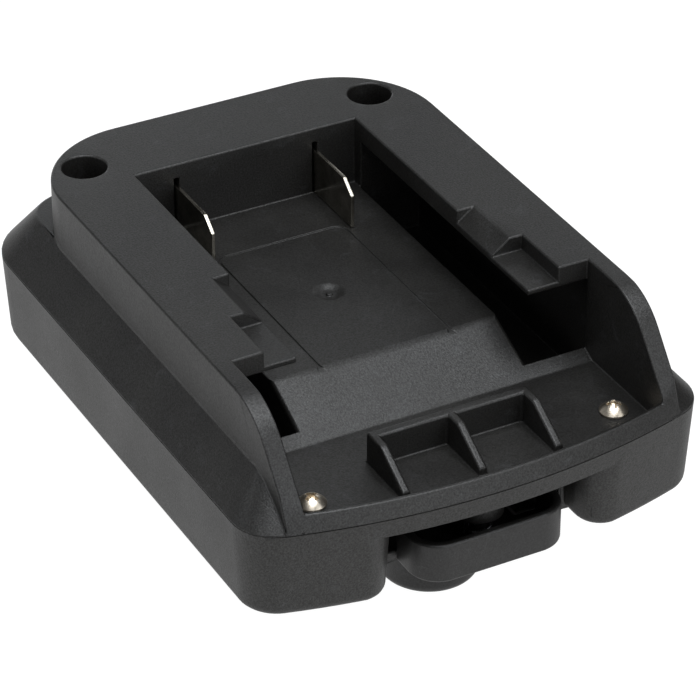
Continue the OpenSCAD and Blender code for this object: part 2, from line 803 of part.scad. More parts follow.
// Finger tab, bolt and spring pin in one moulding.
module latch() {
    y_tab_back = y_latch + latch_depth;
    color(plastic)
        union() {
            difference() {
                translate([0, 0, z_latch])
                    linear_extrude(latch_h)
                        tab_plan(0);
                translate([0, 0, z_latch_floor])
                    linear_extrude(latch_h)
                        tab_plan(latch_wall);
                block([latch_wall - latch_w / 2, y_latch + latch_depth / 2, z_latch_floor],
                      [latch_w / 2 - latch_wall, y_tab_back + past, z_latch + latch_h + past]);
            }
            // Bridge from the tab to the bolt, through the slot in the base's floor.
            block([-bolt_r + slide_gap, y_tab_back - latch_wall, z_latch], [bolt_r - slide_gap, y_bolt, z_latch_floor]);
            // Bolt with a rounded lower edge.
            translate([0, y_bolt, 0])
                rotate_extrude()
                    polygon(concat([[0, seat_gap + nest_gap]],
                                   arc(bolt_r - bolt_edge_r, bolt_edge_r + seat_gap + nest_gap, bolt_edge_r,
                                       270, 360, corner_steps),
                                   [[bolt_r, z_flange + latch_wall], [0, z_flange + latch_wall]]));
            // Flange that rests on the base's floor.
            block([-flange_half_w, y_bolt - bolt_r, z_flange],
                  [flange_half_w, y_pocket_back - slide_gap, z_flange + latch_wall]);
            // Pin inside the spring's lower end.
            translate([0, y_spring, z_latch_floor - slice])
                cylinder(h = spring_high - latch_travel - slide_gap - z_latch_floor, r = spring_pin_r);
        }
}

// One unbroken tube swept along points that wind about an upright axis.
curl_steps = 8;
spring_steps = curl_steps * spring_curls;
spring_sides = 6;
spring_rise = spring_high - spring_low - spring_wire_d - 2 * seat_gap;
spring_points = [for (i = [0:spring_steps])
    let (a = 360 * spring_curls * i / spring_steps)
    [spring_coil_r * cos(a), y_spring + spring_coil_r * sin(a),
     spring_low + seat_gap + spring_wire_d / 2 + spring_rise * i / spring_steps]];
spring_apart = curl_steps / 2 + 1;
spring_gaps = [for (i = [0:spring_steps - spring_apart], j = [i + spring_apart:spring_steps])
    norm(spring_points[j] - spring_points[i]) - spring_wire_d];
echo(spring_least_gap = min(spring_gaps));

function unit(v) = v / norm(v);
function heading(points, i) =
    unit(points[min(i + 1, len(points) - 1)] - points[max(i - 1, 0)]);

// Tube of a given radius along points; side_hint is never parallel to the path.
module tube(points, r, sides, side_hint) {
    rings = [for (i = [0:len(points) - 1])
        let (t = heading(points, i), u = unit(cross(t, side_hint)), v = cross(t, u))
        for (k = [0:sides - 1])
            points[i] + r * (cos(360 * k / sides) * u + sin(360 * k / sides) * v)];
    count = len(points);
    last_ring = (count - 1) * sides;
    walls = [for (i = [0:count - 2], k = [0:sides - 1])
        let (a = i * sides + k, b = i * sides + (k + 1) % sides)
        each [[a, b + sides, b], [a, a + sides, b + sides]]];
    ends = [for (k = [1:sides - 2])
        each [[0, k, k + 1], [last_ring, last_ring + k + 1, last_ring + k]]];
    polyhedron(rings, concat(walls, ends));
}

module latch_spring() {
    color(steel)
        tube(spring_points, spring_wire_d / 2, spring_sides, [0, 0, 1]);
}

// Proportions of a pan head: the recess's width and length to its diameter, and its rim to its height.
recess_w = 1 / 7;
recess_l = 0.62;
head_rim = 0.4;

// Pan-head screw with a cross recess; its head sits on z = 0.
module pan_screw(d, head_d, head_h, l) {
    slot_w = recess_w * head_d;
    slot_l = recess_l * head_d;
    rim_h = head_rim * head_h;
    dome_r = head_h - rim_h;
    difference() {
        union() {
            rotate_extrude()
                polygon(concat([[0, 0], [head_d / 2, 0], [head_d / 2, rim_h]],
                               arc(head_d / 2 - dome_r, rim_h, dome_r, 0, 90, corner_steps),
                               [[0, head_h]]));
            translate([0, 0, -l + d / 2])
                cylinder(h = l - d / 2, d = d);
            translate([0, 0, -l])
                cylinder(h = d / 2, d1 = d / 3, d2 = d);
        }
        for (turn = [0, 90])
            rotate([0, 0, turn])
                translate([-slot_l / 2, -slot_w / 2, rim_h])
                    cube([slot_l, slot_w, head_h]);
    }
}

module front_screws() {
    color(nickel)
        at_both_sides(x_screw, y_front_screw)
            translate([0, 0, z_deck])
                pan_screw(screw_d, screw_head_d, screw_head_h, screw_l);
}

module rear_screws() {
    color(nickel)
        at_both_sides(x_screw, y_rear_screw)
            translate([0, 0, z_counterbore])
                pan_screw(screw_d, screw_head_d, screw_head_h, screw_l);
}

module terminal_block() {
    color(insulator)
        difference() {
            block([-block_half_w, y_block_front, z_block_low], [block_half_w, y_block_back, z_block_top - seat_gap]);
            for (x = [-x_contact, x_contact])
                block([x - blade_t / 2 - seat_gap, y_block_front - past, z_block_low - past],
                      [x + blade_t / 2 + seat_gap, y_block_back - wall / 2, z_block_top - wall]);
            at_both_sides(x_block_screw, y_blade_tab)
                translate([0, 0, z_block_low - past])
                    cylinder(h = z_top, r = small_screw_d / 2 + through_gap);
            at_both_sides(x_block_screw, y_blade_tab)
                translate([0, 0, z_block_low - past])
                    cylinder(h = past + small_head_h + z_block_top - z_block_low - 2 * wall,
                             r = small_head_d / 2 + through_gap);
        }
}

module terminal_block_screws() {
    color(nickel)
        at_both_sides(x_block_screw, y_blade_tab)
            translate([0, 0, z_block_top - 2 * wall + small_head_h])
                rotate([180, 0, 0])
                    pan_screw(small_screw_d, small_head_d, small_head_h, 2 * wall + wall - small_head_h);
}

// Flat blade: the part in the bay, a lower part in the block and a push-on tab below.
module blade(x) {
    y_tip = y_bay - blade_l;
    y_step = y_rear_cavity;
    z_blade = z_top - blade_depth;
    z_inner = z_block_top - wall - seat_gap;
    color(nickel)
        across(x - blade_t / 2, x + blade_t / 2,
               [[y_tip, z_bay + seat_gap], [y_tip, z_blade - blade_clip_h], [y_tip + blade_clip_l, z_blade],
                [y_step, z_blade], [y_step, z_inner], [y_blade_tab + tab_w / 2, z_inner],
                [y_blade_tab + tab_w / 2, z_blade_tab], [y_blade_tab - tab_w / 2, z_blade_tab],
                [y_blade_tab - tab_w / 2, z_bay + seat_gap]]);
}

// Push-on terminal with its mouth at z = 0 and its wire barrel below; the tab is flat in Y.
module receptacle() {
    w = tab_w + 2 * grip_gap;
    t = blade_t + 2 * grip_gap;
    color(copper)
        difference() {
            union() {
                block([-w / 2 - grip_wall, -t / 2 - grip_wall, -grip_l], [w / 2 + grip_wall, t / 2 + grip_wall, 0]);
                translate([0, 0, -tab_l - barrel_l])
                    cylinder(h = barrel_l + tab_l - grip_l + slice, r = barrel_r);
            }
            block([-w / 2, -t / 2, -tab_l - grip_gap], [w / 2, t / 2, past]);
            translate([0, 0, -tab_l - barrel_l - past])
                cylinder(h = barrel_l - wire_d / 2 + past, r = wire_d / 2 + grip_gap);
        }
}

module sleeve() {
    w = tab_w / 2 + grip_gap + grip_wall + sleeve_gap;
    t = max(blade_t / 2 + grip_gap + grip_wall, barrel_r) + sleeve_gap;
    color(sleeve_clear)
        difference() {
            block([-w - sleeve_t, -t - sleeve_t, -tab_l - barrel_l / 2], [w + sleeve_t, t + sleeve_t, -2 * grip_gap]);
            block([-w, -t, -tab_l - barrel_l], [w, t, past]);
        }
}

module on_blade(x) {
    translate([x, y_blade_tab, z_blade_grip])
        rotate([0, 0, 90])
            children();
}

module on_clip(x) {
    translate([x, y_clip, z_clip_grip])
        mirror([0, 0, 1])
            children();
}

// The lead runs down from the blade, forward in the well, up and over, and down to the clip.
function bezier(p, t) =
    pow(1 - t, 3) * p[0] + 3 * t * pow(1 - t, 2) * p[1] + 3 * t * t * (1 - t) * p[2] + pow(t, 3) * p[3];
wire_steps = 10;
wire_sides = 10;
// How far the lead's bends swing, in wire diameters.
wire_slack = 3.6;
wire_grip = barrel_l - wire_d / 2 - grip_gap;
z_wire_start = z_blade_grip - tab_l - barrel_l;
z_wire_end = z_clip_grip + tab_l + barrel_l;
y_wire_mid = (y_blade_tab + y_clip) / 2;
z_wire_mid = (z_wire_start + z_wire_end) / 2;
wire_swing = wire_slack * wire_d;
function wire_points(x) =
    let (start = [x, y_blade_tab, z_wire_start], end = [x, y_clip, z_wire_end], mid = [x, y_wire_mid, z_wire_mid])
    let (down = [0, 0, -wire_swing], up = [0, 0, wire_swing])
    concat([start + [0, 0, wire_grip]],
           [for (i = [0:wire_steps]) bezier([start, start + down, mid + down, mid], i / wire_steps)],
           [for (i = [1:wire_steps]) bezier([mid, mid + up, end + up, end], i / wire_steps)],
           [end - [0, 0, wire_grip]]);

module wire(x, tint) {
    color(tint)
        tube(wire_points(x), wire_d / 2, wire_sides, [1, 0, 0]);
}

// Strip of spring metal along plan points, with mitred bends.
function turned(v) = [-v[1], v[0]];
function strip_side(points, reach) =
    [for (i = [0:len(points) - 1])
        let (before = turned(unit(points[max(i, 1)] - points[max(i, 1) - 1])))
        let (after = turned(unit(points[min(i, len(points) - 2) + 1] - points[min(i, len(points) - 2)])))
        points[i] + reach * (before + after) / (1 + before * after)];

module strip(points, t, z_low, h) {
    left = strip_side(points, t / 2);
    right = strip_side(points, -t / 2);
    translate([0, 0, z_low])
        linear_extrude(h)
            polygon(concat(left, [for (i = [len(right) - 1:-1:0]) right[i]]));
}

// Where a leaf bends inwards and where it nips the blade, as shares of its length.
leaf_bend = 0.45;
leaf_nip = 0.78;

// Clip: two leaves that close on a tool's blade, and a push-on tab that stands up at the back.
module clip(x) {
    w = clip_w / 2;
    m = (clip_mouth + clip_t) / 2;
    bend = leaf_bend * clip_leaf_l;
    nip = leaf_nip * clip_leaf_l;
    end = clip_leaf_l - clip_t;
    color(copper)
        translate([x, y_clip, 0]) {
            strip([[-w + clip_t, end], [-m, nip], [-w, bend], [-w, 0],
                   [w, 0], [w, bend], [m, nip], [w - clip_t, end]], clip_t, z_clip, clip_h);
            block([-tab_w / 2, -blade_t / 2, z_clip + clip_h - wall], [tab_w / 2, blade_t / 2, z_clip_grip + tab_l]);
        }
}

module clip_holder() {
    color(insulator)
        difference() {
            block([-holder_half_w, y_holder_front, z_holder_low], [holder_half_w, y_holder_back, z_holder_top]);
            for (x = [-x_contact, x_contact]) {
                block([x - clip_pocket_w / 2, y_clip - clip_t, z_clip - seat_gap],
                      [x + clip_pocket_w / 2, y_holder_back + past, z_holder_top + past]);
                block([x - tab_w / 2 - seat_gap, y_clip - clip_t, z_clip + clip_h - wall - seat_gap],
                      [x + tab_w / 2 + seat_gap, y_clip + clip_t, z_holder_top + past]);
            }
            at_both_sides(x_holder_screw, y_holder_screw) {
                translate([0, 0, z_holder_low - past])
                    cylinder(h = z_post - z_holder_low + past + seat_gap, r = post_r + seat_gap);
                translate([0, 0, z_holder_low - past])
                    cylinder(h = z_top, r = small_screw_d / 2 + through_gap);
            }
        }
}

module clip_holder_screws() {
    color(nickel)
        at_both_sides(x_holder_screw, y_holder_screw)
            translate([0, 0, z_holder_top])
                pan_screw(small_screw_d, small_head_d, small_head_h, z_holder_top - z_well - seat_gap);
}

base_shell();
top_cover();
latch();
latch_spring();
front_screws();
rear_screws();
terminal_block();
terminal_block_screws();
blade(x_contact);  // blade_positive
blade(-x_contact);  // blade_negative
on_blade(x_contact) receptacle();  // blade_receptacle_positive
on_blade(-x_contact) receptacle();  // blade_receptacle_negative
on_blade(x_contact) sleeve();  // blade_sleeve_positive
on_blade(-x_contact) sleeve();  // blade_sleeve_negative
wire(x_contact, red);  // wire_positive
wire(-x_contact, black);  // wire_negative
on_clip(x_contact) sleeve();  // clip_sleeve_positive
on_clip(-x_contact) sleeve();  // clip_sleeve_negative
on_clip(x_contact) receptacle();  // clip_receptacle_positive
on_clip(-x_contact) receptacle();  // clip_receptacle_negative
clip(x_contact);  // clip_positive
clip(-x_contact);  // clip_negative
clip_holder();
clip_holder_screws();
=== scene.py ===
import bmesh
import bpy
import numpy as np
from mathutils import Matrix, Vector
from mathutils.kdtree import KDTree


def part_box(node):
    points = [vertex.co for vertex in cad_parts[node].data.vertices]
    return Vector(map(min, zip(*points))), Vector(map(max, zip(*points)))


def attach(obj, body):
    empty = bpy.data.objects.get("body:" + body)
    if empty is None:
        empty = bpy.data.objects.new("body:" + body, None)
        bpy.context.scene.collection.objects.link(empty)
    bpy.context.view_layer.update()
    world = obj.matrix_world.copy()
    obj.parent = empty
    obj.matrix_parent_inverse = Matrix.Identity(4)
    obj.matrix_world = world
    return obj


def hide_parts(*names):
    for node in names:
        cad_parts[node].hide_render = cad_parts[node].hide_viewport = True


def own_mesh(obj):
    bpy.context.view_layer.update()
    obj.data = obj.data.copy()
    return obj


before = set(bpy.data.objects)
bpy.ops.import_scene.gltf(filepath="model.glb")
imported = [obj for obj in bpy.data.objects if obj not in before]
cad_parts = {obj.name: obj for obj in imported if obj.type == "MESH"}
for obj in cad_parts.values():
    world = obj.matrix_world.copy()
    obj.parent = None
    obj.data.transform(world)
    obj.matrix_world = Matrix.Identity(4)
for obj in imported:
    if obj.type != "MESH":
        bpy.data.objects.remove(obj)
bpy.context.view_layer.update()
MM = 0.001

# Base shell: the lower half of the adapter, with the rail foot that slides into the tool. It is one
# injection moulding in black glass-filled nylon, and four screws from above hold the cover on it.
BASE_EDGE = 0.4 * MM
SHARP_ANGLE = np.radians(21)
THIN = 0.15 * MM
ROOM_SHARE = 0.45
SAME_POINT = 0.002 * MM
FLAT_ANGLE = np.radians(0.4)
FACET_ANGLE = np.radians(8)
FACET_SHAPE = np.radians(70)
MELT_REACH = 4 * MM
MELT_TURN = np.radians(14)
MELT_AREA = 40 * MM * MM
SAME_CORNER = 0.01 * MM
SAME_NORMAL = 0.005
# Boxes in millimetres round edges that stay sharp: along the parting line and round the notch's rim.
PARTING_SIDES = [((-50, -66, 34.6), (-45, 66, 35.4)), ((45, -66, 34.6), (50, 66, 35.4)),
                 ((-50, 58, 34.6), (50, 66, 35.4))]
PARTING_FRONT = [((-50, -66, 34.6), (50, -58, 35.4))]
NOTCH = [((-27.5, -66, 31), (27.5, -55, 31.6)), ((-27.5, -66, 16), (27.5, -55, 18.6))]


def melt(mesh):
    """Makes the shading normals of a faceted curve even: each corner's normal becomes the mean of
    those within reach, fading with distance, that differ by less than a turn. Corners that a larger
    face shares keep theirs, so flats stay flat."""
    count = len(mesh.loops)
    normals = np.empty(3 * count)
    mesh.corner_normals.foreach_get("vector", normals)
    normals = normals.reshape(-1, 3)
    corner = np.empty(count, dtype=int)
    mesh.loops.foreach_get("vertex_index", corner)
    places = np.empty(3 * len(mesh.vertices))
    mesh.vertices.foreach_get("co", places)
    places = places.reshape(-1, 3)[corner]
    large = np.concatenate([np.full(face.loop_total, face.area > MELT_AREA) for face in mesh.polygons])
    keys = np.round(np.hstack([places / SAME_CORNER, normals / SAME_NORMAL])).astype(int)
    first, same = np.unique(keys, axis=0, return_index=True, return_inverse=True)[1:]
    same = same.ravel()
    tree = KDTree(len(first))
    for i, place in enumerate(places[first]):
        tree.insert(place, i)
    tree.balance()
    even = np.empty((len(first), 3))
    for i, (place, normal) in enumerate(zip(places[first], normals[first])):
        near = tree.find_range(place, MELT_REACH)
        others = normals[first[[index for where, index, distance in near]]]
        fade = 1 - np.array([distance for where, index, distance in near]) / MELT_REACH
        alike = others @ normal > np.cos(MELT_TURN)
        even[i] = (fade * alike) @ others
    even /= np.maximum(np.linalg.norm(even, axis=1, keepdims=True), np.finfo(float).tiny)
    flat = np.bincount(same, weights=large)[same] > 0
    mesh.normals_split_custom_set(np.where(flat[:, None], normals, even[same]).tolist())


def within(place, low, high):
    """Whether a place lies in a box."""
    return np.all(place > low) and np.all(place < high)


def dressed(node, name, edge, material, body="housing", segments=3, crisp=(), soft=(), even=False):
    """A node's solid with its doubles merged, its flat triangles joined and its sharp edges rounded
    by a radius, by the radius of a soft box round them, or by less where a face is narrow. Edges of
    slivers and those inside the crisp boxes stay sharp. Normals are weighted by face area so that
    flats stay flat, and where asked they are made even over the facets of curves."""
    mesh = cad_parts[node].data.copy()
    solid = bmesh.new()
    solid.from_mesh(mesh)
    bmesh.ops.remove_doubles(solid, verts=solid.verts, dist=SAME_POINT)
    bmesh.ops.dissolve_degenerate(solid, edges=solid.edges, dist=SAME_POINT)
    bmesh.ops.dissolve_limit(solid, verts=solid.verts, edges=solid.edges, angle_limit=FLAT_ANGLE)
    bmesh.ops.join_triangles(solid, faces=solid.faces, angle_face_threshold=FACET_ANGLE,
                             angle_shape_threshold=FACET_SHAPE)
    widest = max([edge] + [radius for low, high, radius in soft])
    weight = solid.edges.layers.float.new("bevel_weight_edge")
    for side in solid.edges:
        if side.calc_face_angle() < SHARP_ANGLE:
            continue
        start, along = side.verts[0].co, (side.verts[1].co - side.verts[0].co).normalized()
        room = min(max((v.co - start).cross(along).length for v in f.verts) for f in side.link_faces)
        middle = np.array(side.verts[0].co + side.verts[1].co) / 2 / MM
        side.smooth = room > THIN and not any(within(middle, low, high) for low, high in crisp)
        wanted = max([edge] + [radius for low, high, radius in soft if within(middle, low, high)])
        side[weight] = min(wanted, ROOM_SHARE * room) / widest if side.smooth else 0
    bmesh.ops.triangulate(solid, faces=[f for f in solid.faces if len(f.verts) > 4])
    solid.to_mesh(mesh)
    solid.free()
    for face in mesh.polygons:
        face.use_smooth = True
    mesh.materials.clear()
    mesh.materials.append(material)
    piece = bpy.data.objects.new(name, mesh)
    bpy.context.collection.objects.link(piece)
    rounding = piece.modifiers.new("rounded edges", "BEVEL")
    rounding.width = widest
    rounding.segments = segments
    rounding.limit_method = "WEIGHT"
    rounding.use_clamp_overlap = False
    rounding.loop_slide = False
    flats = piece.modifiers.new("flat faces stay flat", "WEIGHTED_NORMAL")
    flats.mode = "FACE_AREA_WITH_ANGLE"
    flats.keep_sharp = True
    if even:
        rounded = piece.evaluated_get(bpy.context.evaluated_depsgraph_get())
        piece.data = bpy.data.meshes.new_from_object(rounded)
        piece.modifiers.clear()
        melt(piece.data)
    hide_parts(node)
    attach(piece, body)
    return piece


def linear(hex_colour):
    """sRGB hex to linear RGBA."""
    s = np.array([int(hex_colour[i:i + 2], 16) for i in (1, 3, 5)]) / 255
    rgb = np.where(s <= 0.04045, s / 12.92, ((s + 0.055) / 1.055) ** 2.4)
    return (*rgb.tolist(), 1.0)


def add(tree, kind, inputs, **settings):
    """Adds a node, sets its options, and links or sets each input by its name or number."""
    made = tree.nodes.new("ShaderNode" + kind)
    for key, value in settings.items():
        setattr(made, key, value)
    for key, value in inputs.items():
        if isinstance(value, bpy.types.NodeSocket):
            tree.links.new(value, made.inputs[key])
        else:
            made.inputs[key].default_value = value
    return made


def per_mm(size):
    """Texture scale whose features are about this many millimetres across."""
    return 1 / (size * MM)


def new_material(name):
    """A node material, its tree and its Principled shader, which is linked to the output."""
    material = bpy.data.materials.new(name)
    material.use_nodes = True
    tree = material.node_tree
    return material, tree, tree.nodes["Principled BSDF"]


def glass_filled_nylon(name, deep, pale, rough_low, rough_high, grain_depth, speckle):
    """Black glass-filled nylon from a spark-eroded mould: matt and faintly grainy, clouded by the
    flow of the melt, flecked with fibres, and rubbed paler here and there. The grain dents the skin
    and speckles its shine; it is really about 0.1 mm and is drawn at 0.35 mm so that it shows."""
    material, tree, shader = new_material(name)
    place = add(tree, "TexCoord", {}).outputs["Object"]
    cloud = add(tree, "TexNoise", {"Vector": place, "Scale": per_mm(22), "Detail": 4, "Roughness": 0.6})
    grain = add(tree, "TexNoise", {"Vector": place, "Scale": per_mm(0.35), "Detail": 2, "Roughness": 0.6})
    scuff = add(tree, "TexNoise", {"Vector": place, "Scale": per_mm(5), "Detail": 9, "Roughness": 0.78,
                                   "Distortion": 0.6})
    fleck = add(tree, "TexVoronoi", {"Vector": place, "Scale": per_mm(1.6), "Randomness": 1})
    pales = add(tree, "MapRange", {"Value": cloud.outputs["Fac"], "From Min": 0.3, "From Max": 0.7})
    tint = add(tree, "Mix", {0: pales.outputs["Result"], 6: linear(deep), 7: linear(pale)}, data_type="RGBA")
    spots = add(tree, "MapRange", {"Value": fleck.outputs["Distance"], "From Min": 0.12, "From Max": 0.04,
                                   "To Min": 0, "To Max": 0.35})
    rubs = add(tree, "MapRange", {"Value": scuff.outputs["Fac"], "From Min": 0.56, "From Max": 0.72,
                                  "To Min": 0, "To Max": 0.4})
    marks = add(tree, "Math", {0: spots.outputs["Result"], 1: rubs.outputs["Result"]}, operation="MAXIMUM")
    flecked = add(tree, "Mix", {0: marks.outputs["Value"], 6: tint.outputs[2], 7: linear("#454648")},
                  data_type="RGBA")
    tree.links.new(flecked.outputs[2], shader.inputs["Base Color"])
    sheen = add(tree, "MapRange", {"Value": cloud.outputs["Fac"], "From Min": 0.3, "From Max": 0.7,
                                   "To Min": rough_low, "To Max": rough_high})
    tree.links.new(sheen.outputs["Result"], shader.inputs["Roughness"])
    skin = add(tree, "Bump", {"Height": grain.outputs["Fac"], "Strength": 1, "Distance": grain_depth * MM})
    tree.links.new(skin.outputs["Normal"], shader.inputs["Normal"])
    glint = add(tree, "MapRange", {"Value": grain.outputs["Fac"], "From Min": 0.3, "From Max": 0.7,
                                   "To Min": 0.5 - speckle, "To Max": 0.5 + speckle})
    tree.links.new(glint.outputs["Result"], shader.inputs["Specular IOR Level"])
    shader.inputs["IOR"].default_value = 1.53
    return material


base_nylon = glass_filled_nylon("glass-filled nylon base", "#1a1917", "#232220", 0.42, 0.52, 0.06, 0.18)
dressed("base_shell", "base_shell_moulding", BASE_EDGE, base_nylon,
        crisp=PARTING_SIDES + PARTING_FRONT + NOTCH, even=True)

# Clip holder: a black polyester moulding in the well of the rail foot. It keeps the two tool clips
# apart, and two small screws from above hold it on posts of the base.
HOLDER_EDGE = 0.3 * MM
insulator = glass_filled_nylon("glass-filled polyester insulator", "#1b1c1c", "#262727", 0.36, 0.48, 0.03,
                               0.05)
dressed("clip_holder", "clip_holder_moulding", HOLDER_EDGE, insulator)

# Clip holder screws: two nickel-plated steel pan heads with a cross recess and a coarse thread for
# plastic, driven down into the base's posts.
SMALL_HEAD_R = 2.1
SMALL_HEAD_H = 1.4
SMALL_SHANK_R = 1.1
SMALL_PITCH = 0.8
# Shares of a screw's own sizes: the thread's root and the point's length of the shank's radius, the
# ridge's half width of the pitch, the rim's height and the recess's depth of the head's height, and
# the half width and reach of the recess's arms of the head's radius.
THREAD_ROOT = 0.72
POINT_LENGTH = 2.4
RIDGE_HALF_W = 0.32
RIM_HEIGHT = 0.22
RECESS_DEPTH = 0.8
ARM_HALF_W = 0.15
ARM_REACH = 0.5


def pan_screw(head_r, head_h, shank_r, length, pitch):
    """Rings from the tip up to the head's crown, in millimetres with the head's seat at height 0.
    The thread is a root radius plus a ridge that climbs one pitch a turn and fades in a cone at
    the tip. The head is a rim and a dome whose fall grows with the square of the radius, sunk by a
    cross recess whose depth falls from the middle to the ends of its arms."""
    turn = np.linspace(0, 2 * np.pi, 96, endpoint=False)
    height = np.linspace(-length, -0.5 * pitch, int(10 * length / pitch))[:, None]
    phase = (height / pitch - turn / (2 * np.pi)) % 1
    ridge = np.clip(1 - np.abs(phase - 0.5) / RIDGE_HALF_W, 0, 1)
    point = np.clip((height + length) / (POINT_LENGTH * shank_r), 0.04, 1) ** 0.8
    thread_r = shank_r * (THREAD_ROOT + (1 - THREAD_ROOT) * ridge) * point
    rim = RIM_HEIGHT * head_h
    round_off = 0.06 * head_r
    dome = np.linspace(1, 0.02, 44)
    head_rings_r = head_r * np.concatenate([[0.9 * shank_r / head_r, 0.94, 0.98, 1], dome])
    crown = rim + (head_h - rim) * (1 - dome ** 2)
    head_rings_z = np.concatenate([[0, 0, 0.3 * round_off, round_off], crown])
    head_x = head_rings_r[:, None] * np.cos(turn)
    head_y = head_rings_r[:, None] * np.sin(turn)
    along = np.maximum(np.abs(head_x), np.abs(head_y)) / head_r
    across = np.minimum(np.abs(head_x), np.abs(head_y)) / head_r
    inside = np.clip((ARM_HALF_W - across) / 0.03, 0, 1) * np.clip((ARM_REACH - along) / 0.04, 0, 1)
    sunk = RECESS_DEPTH * head_h * (1 - 0.6 * along / ARM_REACH) * inside * (head_rings_z > rim)[:, None]
    x = np.concatenate([thread_r * np.cos(turn), head_x])
    y = np.concatenate([thread_r * np.sin(turn), head_y])
    z = np.concatenate([height + 0 * turn, head_rings_z[:, None] - sunk])
    return np.stack([x, y, z], axis=-1)


def closed_skin(rings):
    """Points and faces of a skin over rings of equal count that runs upwards, closed round each
    ring and by a fan on the middle of the first and of the last."""
    rows, around = rings.shape[:2]
    points = np.concatenate([rings.reshape(-1, 3), [rings[0].mean(axis=0), rings[-1].mean(axis=0)]])
    here = np.arange(around)
    after = (here + 1) % around
    row = np.arange(rows - 1)[:, None] * around
    walls = np.stack([row + here, row + after, row + around + after, row + around + here], axis=-1)
    low = np.stack([np.full(around, rows * around), after, here], axis=-1)
    top = (rows - 1) * around
    high = np.stack([np.full(around, rows * around + 1), top + here, top + after], axis=-1)
    return points, walls.reshape(-1, 4).tolist() + low.tolist() + high.tolist()


def skin_piece(name, skins, material, nodes, smooth=40, body="housing"):
    """One object of several skins given in millimetres, which stands for CAD nodes."""
    points, faces, start = [], [], 0
    for some_points, some_faces in skins:
        points.append(some_points)
        faces += [[start + i for i in face] for face in some_faces]
        start += len(some_points)
    mesh = bpy.data.meshes.new(name)
    mesh.from_pydata((np.concatenate(points) * MM).tolist(), [], faces)
    mesh.materials.append(material)
    mesh.shade_smooth()
    mesh.set_sharp_from_angle(angle=np.radians(smooth))
    piece = bpy.data.objects.new(name, mesh)
    bpy.context.collection.objects.link(piece)
    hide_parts(*nodes)
    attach(piece, body)
    return piece


def plated_metal(name, deep, pale, rough_low, rough_high):
    """Plated or rolled metal: bright, with a faint cloud of tarnish and fine drawn scratches that
    break the highlight."""
    material, tree, shader = new_material(name)
    place = add(tree, "TexCoord", {}).outputs["Object"]
    drawn = add(tree, "Mapping", {"Vector": place, "Scale": (1, 1, 0.06)})
    scratch = add(tree, "TexNoise", {"Vector": drawn.outputs["Vector"], "Scale": per_mm(0.15), "Detail": 3})
    cloud = add(tree, "TexNoise", {"Vector": place, "Scale": per_mm(3), "Detail": 5, "Roughness": 0.65})
    pales = add(tree, "MapRange", {"Value": cloud.outputs["Fac"], "From Min": 0.35, "From Max": 0.65})
    tint = add(tree, "Mix", {0: pales.outputs["Result"], 6: linear(deep), 7: linear(pale)}, data_type="RGBA")
    tree.links.new(tint.outputs[2], shader.inputs["Base Color"])
    sheen = add(tree, "MapRange", {"Value": scratch.outputs["Fac"], "From Min": 0.3, "From Max": 0.7,
                                   "To Min": rough_low, "To Max": rough_high})
    tree.links.new(sheen.outputs["Result"], shader.inputs["Roughness"])
    skin = add(tree, "Bump", {"Height": scratch.outputs["Fac"], "Strength": 0.15, "Distance": 0.01 * MM})
    tree.links.new(skin.outputs["Normal"], shader.inputs["Normal"])
    shader.inputs["Metallic"].default_value = 1.0
    return material


def screw_pair(node, name, head_r, head_h, shank_r, pitch, down, turns):
    """Two screws at the ends of a node's box, with heads up or down, each turned by an angle."""
    lowest, highest = (np.array(corner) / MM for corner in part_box(node))
    rings = pan_screw(head_r, head_h, shank_r, highest[2] - lowest[2] - head_h, pitch)
    seat = lowest[2] + head_h if down else highest[2] - head_h
    skins = []
    for side, angle in zip((-1, 1), np.radians(turns)):
        c, s = np.cos(angle), np.sin(angle)
        turned = rings @ np.array([[c, s, 0], [-s, c, 0], [0, 0, 1]])
        if down:
            turned = turned * (1, -1, -1)
        place = (side * (highest[0] - head_r), (lowest[1] + highest[1]) / 2, seat)
        skins.append(closed_skin(turned + place))
    return skin_piece(name, skins, nickel, [node])


nickel = plated_metal("nickel plating on steel", "#cabfae", "#e8dece", 0.26, 0.38)
screw_pair("clip_holder_screws", "clip_holder_screw_pair", SMALL_HEAD_R, SMALL_HEAD_H, SMALL_SHANK_R,
           SMALL_PITCH, False, (12, 48))

# Tool clips: two strips of copper alloy, each bent into a pair of springy leaves that grip the tool's
# blade in the foot. They are stamped, bent and pushed into the holder.
CLIP_EDGE = 0.1 * MM
copper_alloy = plated_metal("rolled copper alloy", "#a86a45", "#c98a5e", 0.24, 0.42)
dressed("clip_positive", "clip_positive_leaves", CLIP_EDGE, copper_alloy, segments=2)
dressed("clip_negative", "clip_negative_leaves", CLIP_EDGE, copper_alloy, segments=2)

# Release latch: finger tab, round bolt and spring pin in one nylon moulding. It slides up and down in
# the base's front notch, and a flange stops it on the base's floor.
LATCH_EDGE = 0.6 * MM
BRIDGE = [((-10, -54, 17), (10, -43, 17.6))]
latch_nylon = glass_filled_nylon("glass-filled nylon latch", "#141312", "#1b1a19", 0.4, 0.48, 0.03, 0.08)
dressed("latch", "latch_moulding", LATCH_EDGE, latch_nylon, body="latch", crisp=BRIDGE)

# Latch spring: a coil of spring steel wire with closed end turns. It stands round the latch's pin and
# presses up into the tube under the cover's deck.
SPRING_TURNS = 7
SPRING_WIRE_R = 0.35


def tube_rings(path, radius, around, side):
    """Rings of a round tube along a path, each square to it; side is never along the path."""
    heading = np.gradient(path, axis=0)
    heading /= np.linalg.norm(heading, axis=1, keepdims=True)
    first = np.cross(side, heading)
    first /= np.linalg.norm(first, axis=1, keepdims=True)
    second = np.cross(heading, first)
    turn = np.linspace(0, 2 * np.pi, around, endpoint=False)[None, :, None]
    return path[:, None] + radius * (np.cos(turn) * first[:, None] + np.sin(turn) * second[:, None])


